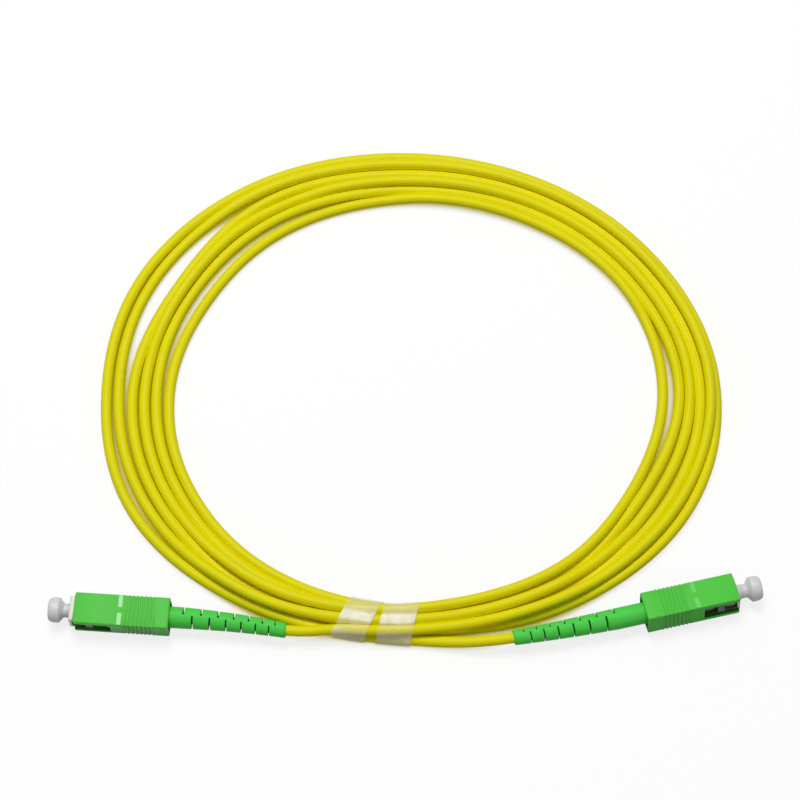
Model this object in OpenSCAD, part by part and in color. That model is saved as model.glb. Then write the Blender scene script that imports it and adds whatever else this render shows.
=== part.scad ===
// Single fibre patch cord with two push-pull plugs, coiled in six loops and held by clear tape.
// Millimetres, +Z up. The origin lies on the table, midway between the two plugs.
// Each plug is drawn along +X with the front face of its frame at x = 0, then laid in place.

/* [Cord] */
// Diameter of the cord's jacket
cord_d = 3.0; // [2.6:0.1:3.2]
// Half width of the coil, to the outside of its outer loop
coil_rx = 89.1; // [86:0.5:92]
// Half depth of the coil, to the outside of its outer loop
coil_ry = 76.6; // [74:0.5:79]
// Gap kept between loops that lie side by side, in cord diameters
loop_gap = 0.15; // [0.14:0.01:0.2]
// Diameter of the buffered fibre inside the cord
fibre_d = 0.9; // [0.6:0.05:1]

/* [Tape] */
// Thickness of the tape wrap
tape_t = 0.1; // [0.08:0.01:0.2]
// Width of one turn of tape
tape_w = 10.8; // [8:0.2:12]
// Space between the two turns of tape
tape_space = 1.2; // [0.4:0.2:2]

/* [Outer housing] */
// Width across the face that carries the key
housing_w = 9.0; // [8.8:0.1:9.6]
// Height across the other two faces
housing_h = 7.4; // [7.2:0.1:8]
// Length from front to rear
housing_l = 26.4; // [25:0.1:27]
// Depth of the finger waist below the faces
waist_in = 0.2; // [0.15:0.05:0.35]
// Number of grip ribs across the waist
rib_count = 7; // [4:1:9]
// Length of the full-width rear end, behind the waist
rear_l = 3.8; // [3:0.1:4.5]
// Distance from one grip rib to the next
rib_pitch = 1.15; // [0.9:0.05:1.2]
// Height of the grip ribs above the waist
rib_h = 0.1; // [0.05:0.05:0.15]
// Width of the key ridge
key_w = 2.3; // [2:0.1:2.6]
// Height of the key ridge
key_h = 0.9; // [0.6:0.1:1.1]
// Length of the key ridge
key_l = 10.0; // [7:0.5:11]
// Length of the side notch that lets the socket's hooks in
notch_l = 10.2; // [9:0.1:11]
// Height of the side notch
notch_h = 4.6; // [4:0.1:4.8]
// How far housing A is drawn back on its frame
back_a = 1.4; // [0.4:0.1:2.8]
// How far housing B is drawn back on its frame
back_b = 0.3; // [0.3:0.1:2.8]

/* [Plug frame] */
// Width of the frame inside the housing
frame_w = 7.0; // [6.8:0.05:7.2]
// Height of the frame inside the housing
frame_h = 6.1; // [5.9:0.05:6.2]
// Length of the frame
frame_l = 19.0; // [18.5:0.1:19.4]
// Clearance between frame and housing on each side
slide_gap = 0.08; // [0.05:0.01:0.1]
// Bore round the ferrule
mouth_d = 4.95; // [4.8:0.05:5]
// Depth of that bore
mouth_l = 6.4; // [6:0.1:6.6]
// Thickness of the ring that stops the ferrule's flange
stop_t = 1.0; // [0.8:0.1:1.2]
// Where the lugs stand, behind the frame's front
lug_x = 5.6; // [5.2:0.1:6]
// Length of the rear windows that the crimp body snaps into
window_l = 1.8; // [1.6:0.1:2]
// Width of the rear windows
window_w = 2.0; // [1.8:0.1:2.4]
// Frame left behind the rear windows
window_rim = 1.4; // [1.2:0.1:1.6]

/* [Ferrule] */
// Diameter of the ceramic ferrule
ferrule_d = 2.5; // [2.4:0.05:2.6]
// How far the tip stands out of the frame
tip_out = 0.5; // [0.2:0.1:0.7]
// Slant of the polished end
tip_angle = 8; // [0:1:10]
// Diameter of the metal flange
flange_d = 4.4; // [4.2:0.05:4.5]
// Thickness of the metal flange
flange_t = 2.0; // [1.5:0.1:2.2]
// Outside of the flange's tail tube
tube_d = 2.9; // [2.8:0.05:3.1]
// How far the ferrule can be pushed back
float_l = 0.9; // [0.6:0.1:1]
// Wire of the ferrule spring
wire_d = 0.45; // [0.4:0.05:0.5]
// Curls of the ferrule spring
curls = 6; // [4:1:7]

/* [Crimp] */
// Length of the crimp body inside the frame
body_in = 4.2; // [3.8:0.1:4.4]
// Diameter of the stem that the yarn is crimped on
stem_d = 3.5; // [3.4:0.05:3.6]
// Length of the stem
stem_l = 8.0; // [7:0.5:9]
// Thickness of the yarn layer
yarn_t = 0.2; // [0.15:0.05:0.25]
// Wall of the crimp sleeve
sleeve_t = 0.3; // [0.25:0.05:0.35]

/* [Boot] */
// Largest diameter of the boot
boot_d = 6.0; // [5.8:0.05:6.1]
// Diameter of the boot at its tail
boot_tail_d = 4.3; // [4.2:0.05:4.6]
// Distance from the frame's front to the boot's tail
boot_end = 60.2; // [58:0.1:64]
// Length of the boot before it tapers
boot_straight = 10.5; // [9:0.5:12]
// How far boot B has slipped back along its crimp
slip_b = 3.5; // [0:0.1:3.6]
// Slots along the boot
slot_count = 13; // [8:1:14]
// Width of the first slot, next to the plug
slot_w = 0.55; // [0.4:0.05:0.9]

/* [Dust cap] */
// Diameter of the cap's knob
knob_d = 7.0; // [6.4:0.1:7.4]
// Length of the knob
knob_l = 4.3; // [4:0.1:5.5]
// Length of the neck between frame and knob
neck_l = 1.7; // [1.2:0.1:2]
// Diameter of the neck
neck_d = 3.9; // [3.6:0.1:4.3]
// Length of the skirt inside the frame
skirt_l = 5.4; // [4.5:0.1:5.8]
// How far cap B has been left out
cap_out_b = 0.9; // [0:0.1:2]

/* [Hidden] */
$fn = 48;
eps = 0.01;       // overlap that joins pieces of one solid
fit = 0.02;       // clearance of a close fit, on each side

// Where the plugs lie: nose, heading of the nose, and roll about the plug's own axis.
nose_a = [-93.1, 0.4];
nose_b = [92.1, 5.7];
heading_a = 176.2;
heading_b = 12.9;
roll_b = -14;     // plug B has rocked over its key on to its far edge
height_a = housing_h / 2 + key_h;
height_b = key_w / 2 * sin(-roll_b) + height_a * cos(roll_b);

// Positions along the plug, behind the frame's front.
stop_x = mouth_l + stop_t;
flange_x = stop_x + fit;
flange_end = flange_x + flange_t;
seat_x = frame_l - body_in;
window_x = frame_l - window_rim - window_l;
tube_end = seat_x - float_l - 0.4;
stem_x = frame_l + 1.4;
stem_end = stem_x + stem_l;
jacket_x = stem_end + 0.5;
sleeve_end = jacket_x + 2;
boot_x = stem_x + 0.3;
taper_x = boot_x + boot_straight;
slot_x = sleeve_end + 0.7;      // first slot, just behind the crimp sleeve
slot_end = boot_end - 3;        // last slot

cavity_d = flange_d + 0.3;
stem_bore = fibre_d + 0.4;
tube_bore = fibre_d + 0.1;
yarn_d = stem_d + 2 * yarn_t;
sleeve_d = yarn_d + 2 * sleeve_t;
jacket_bore = cord_d + 0.12;
waist_x = 14.4;
waist_end = housing_l - rear_l;
corner = 0.6;

// ---- The coil: where its loops lie -------------------------------------------------------

// The loops keep to six lanes, counted from the outside. A row gives each lane's distance
// inside the coil's outline, in cord diameters. There is a row every 30 degrees round the
// oval, from its right end and anticlockwise. Lanes 0, 2 and 4 lie on the table, and the
// odd ones rest in the valleys between them or beside them.
lanes = [
    [0.30, 0.85, 1.75, 2.65, 3.55, 5.40],
    [0.95, 1.55, 2.30, 2.80, 4.20, 4.70],
    [0.80, 1.50, 2.25, 3.05, 3.80, 4.60],
    [0.45, 1.35, 2.35, 3.35, 3.90, 5.00],
    [0.00, 0.90, 1.80, 2.90, 3.95, 5.20],
    [0.10, 1.30, 3.50, 4.20, 5.15, 6.55],
    [0.55, 1.70, 3.05, 4.20, 5.35, 6.55],
    [-0.25, 1.20, 2.35, 3.40, 4.45, 5.60],
    [0.65, 1.35, 2.10, 2.70, 3.38, 4.58],
    [0.70, 1.28, 1.87, 2.46, 3.06, 4.23],
    [0.70, 1.30, 1.95, 2.60, 3.32, 3.95],
    [0.00, 0.95, 1.85, 2.80, 4.35, 5.35]];
coil_centre = [1.3, 68.0];
tie_angle = 266;          // where the tape holds the coil
tie_half = 30;            // loops change lane within this angle of the tape
tape_x = -8.5;            // middle of the tape
tape_gap = 0.3;           // clearance between the tape and the loops
lane_moves = [2, 2, 2, 1, -2, -2, -2];   // lanes moved at each pass through the tape
first_turn = -0.01;
last_turn = 6.02;
climb_turn = 3.1;         // from here the cord climbs on to the lower loops
climb_length = 0.2;       // in turns
rings = 24;               // rings in each loop
cord_sides = 6;

function ease(x) = let (c = min(1, max(0, x))) c * c * (3 - 2 * c);
function spline(a, b, c, d, f) = 0.5 * (2 * b + (c - a) * f + (2 * a - 5 * b + 4 * c - d) * f * f
    + (3 * b - a - 3 * c + d) * f * f * f);

// Lane distances at any angle round the coil, by a smooth curve through the rows.
function lane_row(angle) = let (s = (angle % 360 + 360) % 360 / 30, i = floor(s))
    spline(lanes[(i + 11) % 12], lanes[i], lanes[(i + 1) % 12], lanes[(i + 2) % 12], s - i);

// Distance of a lane, whole or part way to the next, inside the outline.
function inset(lane, row) = lane <= 0 ? row[0] + 0.6 * lane
    : lane >= 5 ? row[5]
    : let (i = floor(lane)) row[i] + (row[i + 1] - row[i]) * (lane - i);

// The cord works inwards on the table for three loops, then outwards on top for three.
function sum(v, i = 0) = i < len(v) ? v[i] + sum(v, i + 1) : 0;
function lane_at(turn) = -2
    + sum([for (k = [0:6]) lane_moves[k] * ease((turn - k) * 180 / tie_half + 0.5)]);

// Height of the cord's centre above the lower loops' centres, in cord diameters: a loop of
// the upper layer drops into the gap beside its nearest lower loop, and rides over at the tape.
function lift(turn, row) = let (
    across = inset(lane_at(turn), row),
    near = min([for (k = [0, 2, 4]) abs(across - row[k])]),
    from_tie = abs(turn - round(turn)) * 360,
    settled = near * ease((from_tie - tie_half) / 12),
    reach = 1 + loop_gap)
    ease((turn - climb_turn) / climb_length) * sqrt(max(0, reach * reach - settled * settled));

function cord_point(turn) = let (
    angle = tie_angle - 360 * turn,
    row = lane_row(angle),
    out = [cos(angle) / coil_rx, sin(angle) / coil_ry],
    depth = inset(lane_at(turn), row) * cord_d)
    [coil_centre[0] + coil_rx * cos(angle) - depth * out[0] / norm(out),
     coil_centre[1] + coil_ry * sin(angle) - depth * out[1] / norm(out),
     cord_d / 2 + tape_t + cord_d * lift(turn, row)];

// ---- Tubes along a path ------------------------------------------------------------------

function unit(v) = v / norm(v);
function along(path) = let (n = len(path) - 1)
    [for (i = [0:n]) unit(path[min(i + 1, n)] - path[max(i - 1, 0)])];

// One closed tube through the path's points; up[i] sets how ring i is turned.
module tube(path, up, r, sides, phase) {
    n = len(path);
    dir = along(path);
    points = [for (i = [0:n - 1]) let (s = unit(cross(dir[i], up[i])), u = cross(s, dir[i]))
        for (k = [0:sides - 1]) let (a = 360 * (k + phase) / sides)
            path[i] + r * (cos(a) * s + sin(a) * u)];
    walls = [for (i = [0:n - 2]) for (k = [0:sides - 1])
        let (a = i * sides + k, b = i * sides + (k + 1) % sides)
            each [[a, b, b + sides], [a, b + sides, a + sides]]];
    start = [for (k = [1:sides - 2]) [0, k + 1, k]];
    end = [for (k = [1:sides - 2]) [0, k, k + 1] + [1, 1, 1] * (n - 1) * sides];
    polyhedron(points, concat(walls, start, end));
}

coil_body = [for (i = [ceil(first_turn * rings + 0.3):floor(last_turn * rings - 0.3)])
    cord_point(i / rings)];
// Both ends of the coil run straight for one cord diameter to meet the tails.
coil_start = cord_point(first_turn);
coil_end = cord_point(last_turn);
start_dir = unit(coil_start - coil_body[0]);
end_dir = unit(coil_end - coil_body[len(coil_body) - 1]);
coil_path = concat([coil_start + cord_d * start_dir, coil_start], coil_body,
    [coil_end, coil_end + cord_d * end_dir]);

function on_plug(nose, heading, height, x) =
    [nose[0] - x * cos(heading), nose[1] - x * sin(heading), height];
function curve(p0, d0, p1, d1, f) = let (g = 1 - f, s = norm(p1 - p0) / 3)
    g * g * g * p0 + 3 * g * g * f * (p0 + s * d0) + 3 * g * f * f * (p1 - s * d1)
    + f * f * f * p1;

// A tail runs straight through its boot, then in one easy bend to the coil.
function tail_path(nose, heading, height, leave_x, meet, meet_dir) = let (
    leave = on_plug(nose, heading, height, leave_x),
    back = -[cos(heading), sin(heading), 0])
    concat([for (k = [0:4]) on_plug(nose, heading, height,
        jacket_x + (leave_x - jacket_x) * k / 5)],
        [for (k = [0:5]) curve(leave, back, meet, meet_dir, k / 5)]);
path_a = tail_path(nose_a, heading_a, height_a, boot_end + 1,
    coil_end + cord_d * end_dir, -end_dir);
path_b = tail_path(nose_b, heading_b, height_b, boot_end + slip_b + 1,
    coil_start + cord_d * start_dir, -start_dir);

// Least gap of the whole cord to itself, between points more than a quarter loop apart.
whole = concat(path_b, [for (i = [1:len(coil_path) - 2]) coil_path[i]]);
least = min([for (i = [0:len(whole) - 1]) for (j = [i + 7:1:len(whole) - 1])
    norm(whole[i] - whole[j])]) - cord_d;
function run(path) = sum([for (i = [1:len(path) - 1]) norm(path[i] - path[i - 1])]);
echo(least_gap = least, coil = run(coil_path), tail_a = run(path_a), tail_b = run(path_b),
    tip_to_tip = run(coil_path) + run(path_a) + run(path_b) + 2 * (jacket_x + tip_out));

module cable_coil()
    color("gold") tube(coil_path, [for (p = coil_path) [0, 0, 1]], cord_d / 2, cord_sides, 0);

module tail(path)
    color("gold") tube(path, [for (p = path) [0, 0, 1]], cord_d / 2, 8, 0.5);

// ---- The tape: two turns side by side round the tied loops --------------------------------

// Where the cord's centre line passes a given x on the tied side of the coil.
function crossings(x) = [for (path = [coil_path, path_a, path_b], i = [1:len(path) - 1])
    let (a = path[i - 1], b = path[i])
        if ((a[0] - x) * (b[0] - x) < 0 && a[1] < coil_centre[1] - coil_ry / 2)
            a + (b - a) * (x - a[0]) / (b[0] - a[0])];

// Outline of the tied strands seen end on, cut off flat below. Each strand is given by its
// distance inwards from the coil's outline and its height.
module bundle(strands, grow, floor_z) intersection() {
    hull() for (p = strands) translate(p) circle(cord_d / 2 + grow);
    translate([-5 * cord_d, floor_z]) square(20 * cord_d);
}

module tape_turn(x) {
    angle = 270 + asin((x - coil_centre[0]) / coil_rx);
    edge = [x, coil_centre[1] + coil_ry * sin(angle), 0];
    slope = atan(coil_ry / coil_rx * (x - coil_centre[0]) / coil_rx / -sin(angle));
    inwards = [-sin(slope), cos(slope), 0];
    strands = [for (side = [-0.5, 0.5]) for (p = crossings(x + side * tape_w))
        [(p - edge) * inwards, p[2]]];
    translate(edge) rotate([90, 0, 90 + slope]) linear_extrude(tape_w, center = true)
        difference() {
            bundle(strands, tape_gap + tape_t, 0);
            bundle(strands, tape_gap, tape_t);
        }
}

module tape_band() color([0.9, 0.9, 0.85, 0.5])
    for (side = [-0.5, 0.5]) tape_turn(tape_x + side * (tape_w + tape_space));

// ---- The plug ----------------------------------------------------------------------------

module lay_a() translate([nose_a[0], nose_a[1], height_a]) rotate([0, 0, heading_a]) children();
module lay_b() translate([nose_b[0], nose_b[1], height_b]) rotate([0, 0, heading_b])
    rotate([roll_b, 0, 0]) children();

// A round bar or bore along the plug, from x0 back to x1 behind the frame's front.
module rod(x0, x1, d) translate([-x1, 0, 0]) rotate([0, 90, 0]) cylinder(d = d, h = x1 - x0);
// A block along the plug, centred on its axis.
module bar(x0, x1, w, h) translate([-x1, -w / 2, -h / 2]) cube([x1 - x0, w, h]);
// A turned shape along the plug: points are [distance in front of the frame, radius].
module turned(points) rotate([0, 90, 0]) rotate_extrude() polygon([for (p = points) [p[1], p[0]]]);

// Half outline of the housing: a short lead-in, the waist for the fingers and the rear flare.
function waist_outline(half) = let (low = half - waist_in) [
    [0, half - 0.3], [-0.4, half], [-waist_x + 0.6, half], [-waist_x, low],
    [-waist_end + 0.8, low], [-waist_end - 0.6, half], [-housing_l + 0.3, half],
    [-housing_l, half - 0.3]];
module waisted(half, depth) translate([0, 0, -depth / 2]) linear_extrude(depth)
    polygon(concat(waist_outline(half),
        [for (i = [7:-1:0]) [waist_outline(half)[i][0], -waist_outline(half)[i][1]]]));

module housing_shell() {
    intersection() {
        waisted(housing_w / 2, housing_h + 1);
        rotate([90, 0, 0]) waisted(housing_h / 2, housing_w + 1);
        union() {
            bar(-1, housing_l + 1, housing_w - 2 * corner, housing_h);
            bar(-1, housing_l + 1, housing_w, housing_h - 2 * corner);
            for (y = [-1, 1], z = [-1, 1])
                translate([0, y * (housing_w / 2 - corner), z * (housing_h / 2 - corner)])
                    rod(-1, housing_l + 1, 2 * corner);
        }
    }
    // Grip ribs right round the waist; they stay below the faces.
    rib_0 = (waist_x + waist_end - rib_pitch * (rib_count - 1)) / 2;
    sunk = 2 * (waist_in - rib_h);
    for (k = [0:rib_count - 1]) translate([-rib_0 - k * rib_pitch, 0, 0])
        bar(-rib_pitch / 4, rib_pitch / 4, housing_w - sunk, housing_h - sunk);
}

module outer_housing(back) color("limegreen") translate([-back, 0, 0]) {
    difference() {
        union() {
            housing_shell();
            // The key that lets the plug into its socket one way round.
            translate([0, 0, -housing_h / 2 - key_h / 2 + eps / 2])
                bar(0.5, 0.5 + key_l, key_w, key_h + eps);
        }
        bar(-1, housing_l + 1, frame_w + 2 * slide_gap, frame_h + 2 * slide_gap);
        // Notches in both sides, where the socket's hooks reach the frame's lugs.
        bar(-1, notch_l, housing_w + 2, notch_h);
        // The rear mouth widens so that the boot can swing.
        bar(housing_l - 0.8, housing_l + 1, frame_w + 0.6, frame_h + 0.5);
    }
}

module plug_frame() color("ivory") difference() {
    union() {
        intersection() {
            bar(0, frame_l, frame_w, frame_h);
            // Lead-in chamfer round the front.
            rotate([90, 0, 0]) linear_extrude(frame_w + 1, center = true)
                polygon([[0, frame_h / 2 - 0.35], [-0.35, frame_h / 2], [-frame_l - 1, frame_h / 2],
                    [-frame_l - 1, -frame_h / 2], [-0.35, -frame_h / 2], [0, -frame_h / 2 + 0.35]]);
        }
        // Lugs that the socket's hooks catch behind.
        for (side = [-1, 1]) translate([-lug_x, side * (frame_w / 2 + 0.2), 0])
            bar(-1, 1, 0.8, notch_h - 1.4);
    }
    rod(-1, mouth_l, mouth_d);
    rod(mouth_l - 1, stop_x + 1, ferrule_d + 0.6);
    rod(stop_x, frame_l + 1, cavity_d);
    // Pockets beside the lugs.
    for (side = [-1, 1], x = [[0.8, lug_x - 1], [lug_x + 1, notch_l + 0.2]])
        translate([0, side * (frame_w / 2 + 0.5), 0]) bar(x[0], x[1], 1 + 2 * 0.7, notch_h - 0.8);
    // Windows that the crimp body snaps into.
    bar(window_x, window_x + window_l, window_w, frame_h + 1);
}

module ferrule() color("white") difference() {
    turned([[tip_out, 0], [tip_out, ferrule_d / 2 - 0.45], [tip_out - 0.6, ferrule_d / 2],
        [-flange_end + 0.2, ferrule_d / 2], [-flange_end + 0.2, 0]]);
    translate([tip_out, 0, 0]) rotate([0, -tip_angle, 0])
        translate([0, -ferrule_d, -ferrule_d]) cube(2 * ferrule_d);
}

module ferrule_flange() color("silver") difference() {
    union() {
        rod(flange_x, flange_end, flange_d);
        rod(flange_end - eps, tube_end, tube_d);
    }
    rod(flange_x - 1, flange_end - 0.2 + fit, ferrule_d + 2 * fit);
    rod(flange_end - 1, tube_end + 1, tube_bore);
    // Notches that stop the flange turning.
    for (turn = [0, 90]) rotate([turn, 0, 0])
        translate([0, flange_d / 2, 0]) bar(flange_x - 1, flange_end + 1, 0.8, 0.7);
    for (turn = [0, 90]) rotate([turn, 0, 0])
        translate([0, -flange_d / 2, 0]) bar(flange_x - 1, flange_end + 1, 0.8, 0.7);
}

// The spring is one wire wound round the flange's tail tube, with flat end turns.
module ferrule_spring() {
    r = (cavity_d - wire_d) / 2 - 0.12;
    x0 = flange_end + wire_d / 2 + fit;
    x1 = seat_x - wire_d / 2 - fit;
    steps = curls * 8;
    path = [for (i = [0:steps]) let (a = 360 * i / 8, f = min(1, max(0, (i - 5) / (steps - 10))))
        [-x0 - (x1 - x0) * f, r * cos(a), r * sin(a)]];
    out = [for (p = path) [0, p[1], p[2]]];
    color("lightgray") tube(path, out, wire_d / 2, 6, 0);
}

module crimp_body() color("lightgray") difference() {
    union() {
        rod(seat_x, frame_l + 0.2, cavity_d - 2 * fit);
        rod(frame_l + 0.1, stem_x + eps, boot_d - 0.4);
        rod(stem_x, stem_end, stem_d);
        // Snaps that hold the body in the frame's windows.
        bar(window_x + 0.2, window_x + window_l - 0.2, window_w - 0.4, frame_h - 0.4);
    }
    rod(seat_x - 1, stem_end + 1, stem_bore);
    // Knurl on the stem, cut as rings.
    for (k = [0:5]) rotate([0, 90, 0]) translate([0, 0, -stem_x - 1.4 - k * 1.1])
        rotate_extrude() translate([stem_d / 2, 0]) circle(d = 0.3, $fn = 4);
}

module aramid_yarn() color("khaki") difference() {
    rod(stem_x + 0.4, stem_end, yarn_d);
    rod(stem_x, stem_end + 1, stem_d);
}

module crimp_sleeve() color("silver") difference() {
    union() {
        rod(stem_x + 0.4, stem_end + 2 * sleeve_t, sleeve_d);
        rod(stem_end, sleeve_end, jacket_bore + 2 * sleeve_t);
    }
    rod(stem_x, stem_end, yarn_d);
    rod(stem_end - 1, sleeve_end + 1, jacket_bore);
}

module buffered_fibre() color("white") rod(flange_end + 1.4, jacket_x, fibre_d);

// The boot: a tapered sleeve cut from alternate sides, so that it bends in an even curve.
function slot_place(k) = let (f = k / (slot_count - 1)) slot_x + (slot_end - slot_x) * f * (1.2 - 0.2 * f);
function boot_r(x) = (boot_d + (boot_tail_d - boot_d) * max(0, x - taper_x) / (boot_end - taper_x)) / 2;
module boot() color("limegreen") difference() {
    turned([[-boot_x, 0], [-boot_x, boot_d / 2 - 0.2], [-boot_x - 0.2, boot_d / 2],
        [-taper_x, boot_d / 2], [-boot_end + 0.4, boot_r(boot_end - 0.4)],
        [-boot_end, boot_tail_d / 2 - 0.3], [-boot_end, 0]]);
    rod(boot_x - 1, sleeve_end + 0.3, sleeve_d + 2 * fit);
    rod(sleeve_end, boot_end + 1, cord_d + 0.16);
    for (k = [0:slot_count - 1]) let (
        x = slot_place(k),
        width = slot_w * (1 - 0.35 * k / slot_count),
        floor_y = boot_r(x) * 0.05,
        side = k % 2 == 0 ? 1 : -1)
        translate([-x, side * (floor_y + boot_d / 2), 0])
            cube([width, boot_d, boot_d + 1], center = true);
}

module dust_cap() color([0.85, 0.85, 0.88, 0.8]) difference() {
    turned(concat([[-skirt_l, 0], [-skirt_l, ferrule_d / 2 + 0.5], [-skirt_l + 0.3, neck_d / 2 + 0.15],
        [-fit, neck_d / 2 + 0.15], [-fit, neck_d / 2], [neck_l, neck_d / 2],
        [neck_l + 0.9, knob_d / 2 - 0.5], [neck_l + 1.3, knob_d / 2]],
        [for (a = [0:15:90]) [neck_l + knob_l - 1.6 + 1.6 * sin(a),
            knob_d / 2 * (0.72 + 0.28 * cos(a))]],
        [[neck_l + knob_l, 0]]));
    rod(-tip_out - 0.3, skirt_l + 1, ferrule_d + 2 * fit);
}

// ---- Nodes -------------------------------------------------------------------------------

lay_a() dust_cap();  // dust_cap_a
lay_a() outer_housing(back_a);  // outer_housing_a
lay_a() plug_frame();  // plug_frame_a
lay_a() ferrule();  // ferrule_a
lay_a() ferrule_flange();  // ferrule_flange_a
lay_a() ferrule_spring();  // ferrule_spring_a
lay_a() crimp_body();  // crimp_body_a
lay_a() aramid_yarn();  // aramid_yarn_a
lay_a() crimp_sleeve();  // crimp_sleeve_a
lay_a() buffered_fibre();  // buffered_fibre_a
lay_a() rotate([180, 0, 0]) boot();  // boot_a
tail(path_a);  // cable_tail_a
cable_coil();
tape_band();
tail(path_b);  // cable_tail_b
lay_b() translate([cap_out_b, 0, 0]) dust_cap();  // dust_cap_b
lay_b() outer_housing(back_b);  // outer_housing_b
lay_b() plug_frame();  // plug_frame_b
lay_b() ferrule();  // ferrule_b
lay_b() ferrule_flange();  // ferrule_flange_b
lay_b() ferrule_spring();  // ferrule_spring_b
lay_b() crimp_body();  // crimp_body_b
lay_b() aramid_yarn();  // aramid_yarn_b
lay_b() crimp_sleeve();  // crimp_sleeve_b
lay_b() buffered_fibre();  // buffered_fibre_b
lay_b() translate([-slip_b, 0, 0]) boot();  // boot_b
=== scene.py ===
# %% [markdown]
# # A fibre patch cord on a white table
#
# The object is a yellow patch cord, three metres long, wound into six loops and held with two
# turns of clear tape. Each end has a green push-pull plug with a slotted bend boot and a milky
# dust cap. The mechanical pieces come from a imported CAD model, which is the fixed frame of the
# scene. This lesson gives that frame its looks: a smooth cord, soft moulded edges, film, marks,
# finishes, light and a camera.

# %% Load the frame
import math

import bmesh
import bpy
import numpy as np
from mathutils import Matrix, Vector


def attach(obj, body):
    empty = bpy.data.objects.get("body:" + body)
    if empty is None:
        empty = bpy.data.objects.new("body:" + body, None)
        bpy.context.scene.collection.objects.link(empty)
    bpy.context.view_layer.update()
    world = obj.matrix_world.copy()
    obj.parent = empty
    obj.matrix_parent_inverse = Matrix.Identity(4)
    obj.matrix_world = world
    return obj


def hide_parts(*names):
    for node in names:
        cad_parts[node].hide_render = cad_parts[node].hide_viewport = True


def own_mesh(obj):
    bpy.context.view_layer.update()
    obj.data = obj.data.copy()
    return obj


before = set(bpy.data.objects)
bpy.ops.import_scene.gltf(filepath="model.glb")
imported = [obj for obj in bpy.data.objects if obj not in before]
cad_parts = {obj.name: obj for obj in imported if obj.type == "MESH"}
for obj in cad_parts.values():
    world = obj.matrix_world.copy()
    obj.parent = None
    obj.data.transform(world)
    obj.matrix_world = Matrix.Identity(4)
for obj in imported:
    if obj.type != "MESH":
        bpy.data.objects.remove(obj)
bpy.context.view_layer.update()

MM = 0.001

# %% [markdown]
# ## The camera
#
# The camera comes first, so that every later piece can be judged in the final picture. A long
# lens from high above keeps the coil's oval almost free of perspective. The camera looks along
# +Y and down at a steep angle at a point on the table, just inside the coil.

# %% Place the camera
picture_px = 800
focal_px = 2663
sensor_mm = 36.0
camera_rise = math.radians(67.6)
camera_reach = 0.7684
look_at = np.array([-1.6, 65.6, 0.0]) * MM

camera_data = bpy.data.cameras.new("camera")
camera_data.sensor_width = sensor_mm
camera_data.lens = sensor_mm * focal_px / picture_px
camera_data.clip_start = 0.01
camera = bpy.data.objects.new("camera", camera_data)
camera.location = look_at + camera_reach * np.array(
    [0, -math.cos(camera_rise), math.sin(camera_rise)])
camera.rotation_euler = (math.pi / 2 - camera_rise, 0, 0)
bpy.context.collection.objects.link(camera)
bpy.context.scene.camera = camera
print(f"lens {camera_data.lens:.1f} mm at {camera_reach} m")

# %% [markdown]
# ## The cord's route
#
# A hand-wound coil is not a helix. Each loop keeps to a lane, the lanes crowd together at the
# tape and fan out on the far side, and the cord changes lane as it passes through the tape.
# The route is therefore a function of one number, the turn: 0 at the first pass through the
# tape, 6 at the last. Half of the loops lie on the table and the others rest on them.

# %% Lanes of the coil
cord_d = 3.0
coil_rx, coil_ry = 89.1, 76.6
coil_centre = np.array([1.3, 68.0])
loop_gap = 0.03
lead_step = 0.45
table_gap = 0.1
tie_angle, tie_half, settle_angle = 266, 30, 12
first_lane, lane_moves = -2, [2, 2, 2, 1, -2, -2, -2]
first_turn, last_turn = -0.01, 6.02
climb_turn, climb_length = 3.1, 0.2
coil_samples = 1400

# One row every 30 degrees round the oval, anticlockwise from its right end. A row holds each
# lane's distance inside the outline, in cord diameters.
lanes = np.array([
    [0.30, 0.90, 1.80, 2.80, 3.82, 5.40],
    [0.85, 1.50, 2.30, 3.22, 4.20, 5.12],
    [0.75, 1.50, 2.30, 3.20, 4.10, 5.05],
    [0.45, 1.38, 2.35, 3.32, 4.05, 5.05],
    [0.00, 0.95, 2.05, 3.10, 4.20, 5.65],
    [0.05, 1.22, 3.60, 4.35, 5.22, 6.85],
    [0.52, 1.70, 3.05, 4.20, 5.35, 6.60],
    [-0.25, 1.15, 2.30, 3.38, 4.43, 5.52],
    [0.38, 1.05, 1.78, 2.40, 3.12, 4.05],
    [1.05, 1.57, 2.05, 2.54, 3.05, 3.80],
    [0.48, 1.12, 1.80, 2.45, 3.17, 3.75],
    [-0.15, 0.92, 1.85, 3.05, 4.25, 5.33]])


def ease(x):
    """Smooth step: 3 c^2 - 2 c^3 with c held between 0 and 1."""
    c = np.clip(x, 0, 1)
    return c * c * (3 - 2 * c)


def lane_row(angle):
    """The six lane distances at an angle, by a cubic through the four nearest rows."""
    s = np.mod(angle, 360) / 30
    i = np.floor(s).astype(int)
    f = (s - i)[:, None]
    a, b, c, d = (lanes[(i + k) % 12] for k in (11, 0, 1, 2))
    return 0.5 * (2 * b + (c - a) * f + (2 * a - 5 * b + 4 * c - d) * f**2
                  + (3 * b - a - 3 * c + d) * f**3)


def inset(lane, row):
    """Distance inside the outline of a lane that may lie between two whole ones."""
    i = np.clip(np.floor(lane), 0, 4).astype(int)
    n = np.arange(len(lane))
    between = row[n, i] + (row[n, i + 1] - row[n, i]) * (lane - i)
    inwards = np.where(lane >= 5, row[:, 5], between)
    return np.where(lane <= 0, row[:, 0] + lead_step * lane, inwards)


def lane_at(turn):
    """The lane at a turn: two lanes inwards at each pass, then outwards again."""
    return first_lane + sum(move * ease((turn - k) * 180 / tie_half + 0.5)
                            for k, move in enumerate(lane_moves))


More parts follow.
